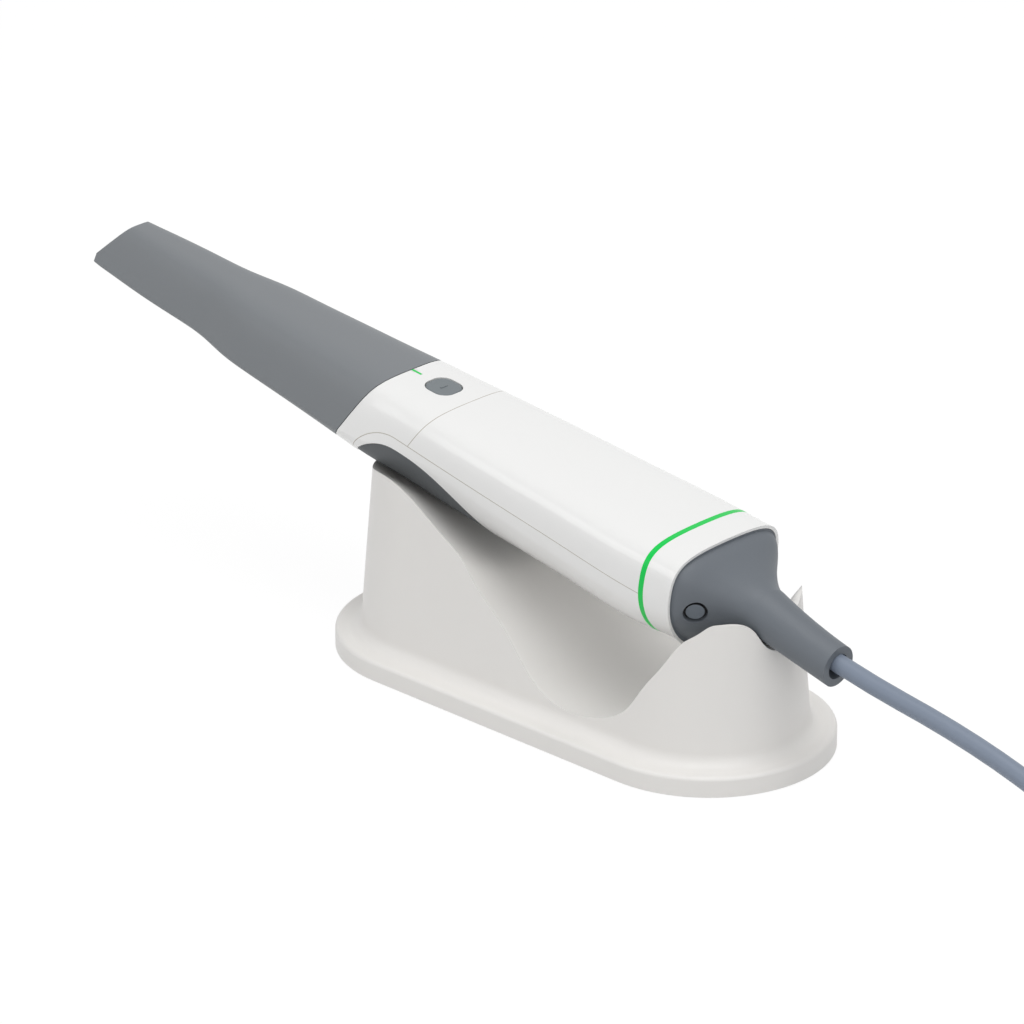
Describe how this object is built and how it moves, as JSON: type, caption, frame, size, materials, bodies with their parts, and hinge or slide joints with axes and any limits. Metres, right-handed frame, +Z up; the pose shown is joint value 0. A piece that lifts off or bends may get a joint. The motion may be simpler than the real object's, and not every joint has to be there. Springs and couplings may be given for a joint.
{
  "type": "intraoral scanner",
  "caption": "Handheld dental scanner with slip-on tip, scan button, grip, light ring and cord, lying in a drafted desk cradle",
  "frame": {"origin": "Centre of the cradle's underside, on the surface it stands on.", "axes": "+Z up, +X along the scanner towards its cord end, +Y across it, away from the viewer of the picture."},
  "size_m": [0.4298, 0.1202, 0.0914],
  "materials": {
    "tip_grey": "satin",
    "mirror": "polished",
    "dark_plastic": "matte",
    "glass": "polished",
    "white_gloss": "gloss",
    "green": "gloss",
    "button_grey": "satin",
    "board": "satin",
    "pad_grey": "matte",
    "boot_grey": "matte",
    "plug_grey": "satin",
    "steel": "satin",
    "aluminium": "satin",
    "cord_grey": "satin",
    "cradle_grey": "satin",
    "mat": "matte"
  },
  "bodies": {
    "root": {"snout": "dark_plastic", "snout_glass": "glass", "front_collar": "white_gloss", "alignment_mark": "green", "button_switch": "dark_plastic", "button_board": "board", "top_cover": "white_gloss", "lower_housing": "white_gloss", "grip_pad": "pad_grey", "light_ring": "green", "ring_board": "board", "end_bezel": "white_gloss", "tail_frame": "dark_plastic", "tail_cap": "boot_grey", "screw_plugs": "plug_grey", "tail_screws": "steel", "cable_clamp": "steel", "inner_harness": "dark_plastic", "bulkhead": "dark_plastic", "camera_left": "dark_plastic", "camera_right": "dark_plastic", "chassis": "aluminium", "case_screws": "steel", "projector": "dark_plastic", "projector_lens": "aluminium", "heat_sink": "aluminium", "main_board": "board", "cord_lead": "cord_grey", "cord_coil": "cord_grey", "cord_tail": "cord_grey", "plug_body": "cord_grey", "plug_shell": "steel", "plug_tongue": "dark_plastic", "cradle": "cradle_grey", "cradle_floor": "cradle_grey", "cradle_mat": "mat", "floor_screws": "steel"},
    "tip": {"tip_sleeve": "tip_grey", "tip_mirror": "mirror"},
    "button": {"scan_button": "button_grey"}
  },
  "joints": [
    {"name": "tip_pull", "type": "slide", "parent": "root", "child": "tip", "axis": [-0.992, 0, 0.1262], "range_m": [0, 0.07]},
    {"name": "button_press", "type": "slide", "parent": "root", "child": "button", "axis": [-0.1262, 0, -0.992], "range_m": [0, 0.0006], "stiffness_N_per_m": 400}
  ]
}
